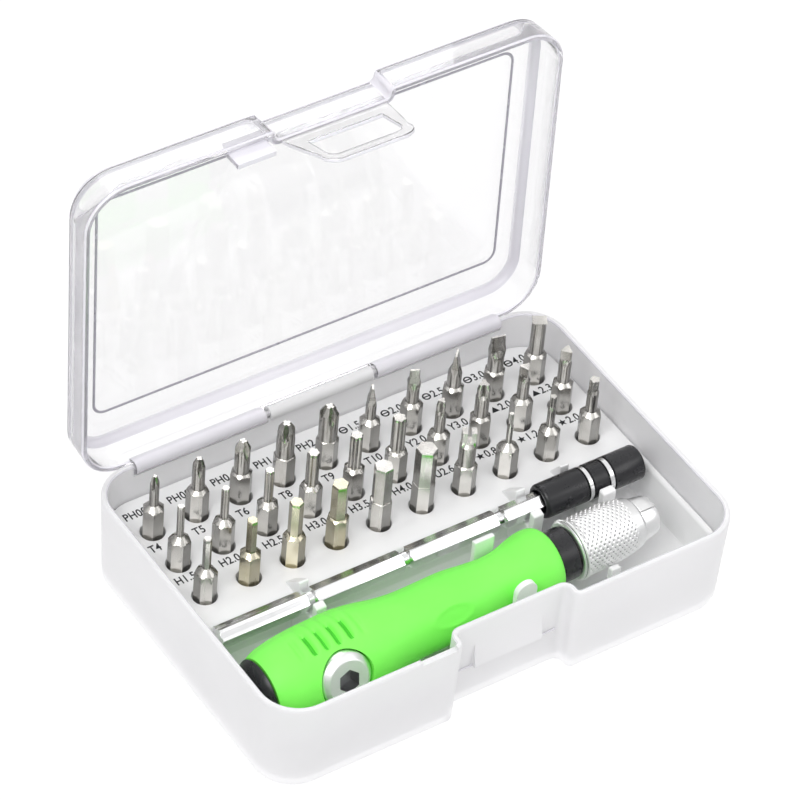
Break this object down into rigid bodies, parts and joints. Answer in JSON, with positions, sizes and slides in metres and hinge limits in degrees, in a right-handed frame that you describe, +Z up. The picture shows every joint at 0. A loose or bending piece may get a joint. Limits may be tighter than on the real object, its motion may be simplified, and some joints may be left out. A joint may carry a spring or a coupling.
{
  "type": "precision screwdriver set",
  "caption": "Clear hinged pocket case holding driver bits upright in a white tray, with a soft-grip handle and a hex extension in the front channel.",
  "frame": {"origin": "centre of the base's flat underside, on the surface that the case stands on", "axes": "+Z up, +X along the length of the case with the chuck end of the handle at +X, +Y towards the hinge"},
  "size_m": [0.1078, 0.0831, 0.0952],
  "materials": {
    "case_plastic": "translucent",
    "tray_plastic": "satin",
    "grip_rubber": "satin",
    "black_plastic": "satin",
    "bit_steel": "satin",
    "rod_steel": "polished",
    "aluminium": "satin"
  },
  "bodies": {
    "case": {"case_base": "case_plastic", "insert_tray": "tray_plastic", "hinge_pin": "case_plastic"},
    "lid": {"case_lid": "case_plastic"},
    "latch": {"latch_tab": "case_plastic"},
    "handle": {"handle_core": "black_plastic", "handle_grip": "grip_rubber", "side_socket": "aluminium", "collet_nose": "rod_steel", "collet_magnet": "rod_steel"},
    "chuck": {"chuck_sleeve": "aluminium"},
    "extension": {"extension_rod": "rod_steel", "extension_sleeve": "black_plastic", "sleeve_ring_inner": "rod_steel", "sleeve_ring_outer": "rod_steel", "extension_magnet": "rod_steel"},
    "bit_ph000_body": {"bit_ph000": "bit_steel"},
    "bit_ph00_body": {"bit_ph00": "bit_steel"},
    "bit_ph0_body": {"bit_ph0": "bit_steel"},
    "bit_ph1_body": {"bit_ph1": "bit_steel"},
    "bit_ph2_body": {"bit_ph2": "bit_steel"},
    "bit_sl1_5_body": {"bit_sl1_5": "bit_steel"},
    "bit_sl2_0_body": {"bit_sl2_0": "bit_steel"},
    "bit_sl2_5_body": {"bit_sl2_5": "bit_steel"},
    "bit_sl3_0_body": {"bit_sl3_0": "bit_steel"},
    "bit_sl4_0_body": {"bit_sl4_0": "bit_steel"},
    "bit_t4_body": {"bit_t4": "bit_steel"},
    "bit_t5_body": {"bit_t5": "bit_steel"},
    "bit_t6_body": {"bit_t6": "bit_steel"},
    "bit_t8_body": {"bit_t8": "bit_steel"},
    "bit_t9_body": {"bit_t9": "bit_steel"},
    "bit_t10_body": {"bit_t10": "bit_steel"},
    "bit_y2_0_body": {"bit_y2_0": "bit_steel"},
    "bit_y3_0_body": {"bit_y3_0": "bit_steel"},
    "bit_tri2_0_body": {"bit_tri2_0": "bit_steel"},
    "bit_tri2_3_body": {"bit_tri2_3": "bit_steel"},
    "bit_h1_5_body": {"bit_h1_5": "bit_steel"},
    "bit_h2_0_body": {"bit_h2_0": "bit_steel"},
    "bit_h2_5_body": {"bit_h2_5": "bit_steel"},
    "bit_h3_0_body": {"bit_h3_0": "bit_steel"},
    "bit_h3_5_body": {"bit_h3_5": "bit_steel"},
    "bit_h4_0_body": {"bit_h4_0": "bit_steel"},
    "bit_u2_6_body": {"bit_u2_6": "bit_steel"},
    "bit_p0_8_body": {"bit_p0_8": "bit_steel"},
    "bit_p1_2_body": {"bit_p1_2": "bit_steel"},
    "bit_p2_0_body": {"bit_p2_0": "bit_steel"}
  },
  "joints": [
    {"name": "lid_hinge", "type": "hinge", "parent": "case", "child": "lid", "pos_m": [0, 0.03575, 0.02085], "axis": [-1, 0, 0], "range_deg": [-91.3, 0]},
    {"name": "latch_flex", "type": "hinge", "parent": "lid", "child": "latch", "pos_m": [0.0002, 0.03817, 0.09001], "axis": [1, 0, 0], "range_deg": [-25, 12], "stiffness_Nm_per_rad": 0.02},
    {"name": "handle_lift", "type": "slide", "parent": "case", "child": "handle", "axis": [0, 0, 1], "range_m": [0, 0.024]},
    {"name": "chuck_turn", "type": "hinge", "parent": "handle", "child": "chuck", "pos_m": [0.03, -0.01964, 0.01418], "axis": [0.9997, 0.0147, 0.0196], "continuous": true},
    {"name": "extension_lift", "type": "slide", "parent": "case", "child": "extension", "axis": [0, 0, 1], "range_m": [0, 0.02]},
    {"name": "bit_ph000_pull", "type": "slide", "parent": "case", "child": "bit_ph000_body", "axis": [0, 0, 1], "range_m": [0, 0.023]},
    {"name": "bit_ph00_pull", "type": "slide", "parent": "case", "child": "bit_ph00_body", "axis": [0, 0, 1], "range_m": [0, 0.023]},
    {"name": "bit_ph0_pull", "type": "slide", "parent": "case", "child": "bit_ph0_body", "axis": [0, 0, 1], "range_m": [0, 0.023]},
    {"name": "bit_ph1_pull", "type": "slide", "parent": "case", "child": "bit_ph1_body", "axis": [0, 0, 1], "range_m": [0, 0.023]},
    {"name": "bit_ph2_pull", "type": "slide", "parent": "case", "child": "bit_ph2_body", "axis": [0, 0, 1], "range_m": [0, 0.023]},
    {"name": "bit_sl1_5_pull", "type": "slide", "parent": "case", "child": "bit_sl1_5_body", "axis": [0, 0, 1], "range_m": [0, 0.023]},
    {"name": "bit_sl2_0_pull", "type": "slide", "parent": "case", "child": "bit_sl2_0_body", "axis": [0, 0, 1], "range_m": [0, 0.023]},
    {"name": "bit_sl2_5_pull", "type": "slide", "parent": "case", "child": "bit_sl2_5_body", "axis": [0, 0, 1], "range_m": [0, 0.023]},
    {"name": "bit_sl3_0_pull", "type": "slide", "parent": "case", "child": "bit_sl3_0_body", "axis": [0, 0, 1], "range_m": [0, 0.023]},
    {"name": "bit_sl4_0_pull", "type": "slide", "parent": "case", "child": "bit_sl4_0_body", "axis": [0, 0, 1], "range_m": [0, 0.023]},
    {"name": "bit_t4_pull", "type": "slide", "parent": "case", "child": "bit_t4_body", "axis": [0, 0, 1], "range_m": [0, 0.023]},
    {"name": "bit_t5_pull", "type": "slide", "parent": "case", "child": "bit_t5_body", "axis": [0, 0, 1], "range_m": [0, 0.023]},
    {"name": "bit_t6_pull", "type": "slide", "parent": "case", "child": "bit_t6_body", "axis": [0, 0, 1], "range_m": [0, 0.023]},
    {"name": "bit_t8_pull", "type": "slide", "parent": "case", "child": "bit_t8_body", "axis": [0, 0, 1], "range_m": [0, 0.023]},
    {"name": "bit_t9_pull", "type": "slide", "parent": "case", "child": "bit_t9_body", "axis": [0, 0, 1], "range_m": [0, 0.023]},
    {"name": "bit_t10_pull", "type": "slide", "parent": "case", "child": "bit_t10_body", "axis": [0, 0, 1], "range_m": [0, 0.023]},
    {"name": "bit_y2_0_pull", "type": "slide", "parent": "case", "child": "bit_y2_0_body", "axis": [0, 0, 1], "range_m": [0, 0.023]},
    {"name": "bit_y3_0_pull", "type": "slide", "parent": "case", "child": "bit_y3_0_body", "axis": [0, 0, 1], "range_m": [0, 0.023]},
    {"name": "bit_tri2_0_pull", "type": "slide", "parent": "case", "child": "bit_tri2_0_body", "axis": [0, 0, 1], "range_m": [0, 0.023]},
    {"name": "bit_tri2_3_pull", "type": "slide", "parent": "case", "child": "bit_tri2_3_body", "axis": [0, 0, 1], "range_m": [0, 0.023]},
    {"name": "bit_h1_5_pull", "type": "slide", "parent": "case", "child": "bit_h1_5_body", "axis": [0, 0, 1], "range_m": [0, 0.023]},
    {"name": "bit_h2_0_pull", "type": "slide", "parent": "case", "child": "bit_h2_0_body", "axis": [0, 0, 1], "range_m": [0, 0.023]},
    {"name": "bit_h2_5_pull", "type": "slide", "parent": "case", "child": "bit_h2_5_body", "axis": [0, 0, 1], "range_m": [0, 0.023]},
    {"name": "bit_h3_0_pull", "type": "slide", "parent": "case", "child": "bit_h3_0_body", "axis": [0, 0, 1], "range_m": [0, 0.023]},
    {"name": "bit_h3_5_pull", "type": "slide", "parent": "case", "child": "bit_h3_5_body", "axis": [0, 0, 1], "range_m": [0, 0.023]},
    {"name": "bit_h4_0_pull", "type": "slide", "parent": "case", "child": "bit_h4_0_body", "axis": [0, 0, 1], "range_m": [0, 0.023]},
    {"name": "bit_u2_6_pull", "type": "slide", "parent": "case", "child": "bit_u2_6_body", "axis": [0, 0, 1], "range_m": [0, 0.023]},
    {"name": "bit_p0_8_pull", "type": "slide", "parent": "case", "child": "bit_p0_8_body", "axis": [0, 0, 1], "range_m": [0, 0.023]},
    {"name": "bit_p1_2_pull", "type": "slide", "parent": "case", "child": "bit_p1_2_body", "axis": [0, 0, 1], "range_m": [0, 0.023]},
    {"name": "bit_p2_0_pull", "type": "slide", "parent": "case", "child": "bit_p2_0_body", "axis": [0, 0, 1], "range_m": [0, 0.023]}
  ]
}
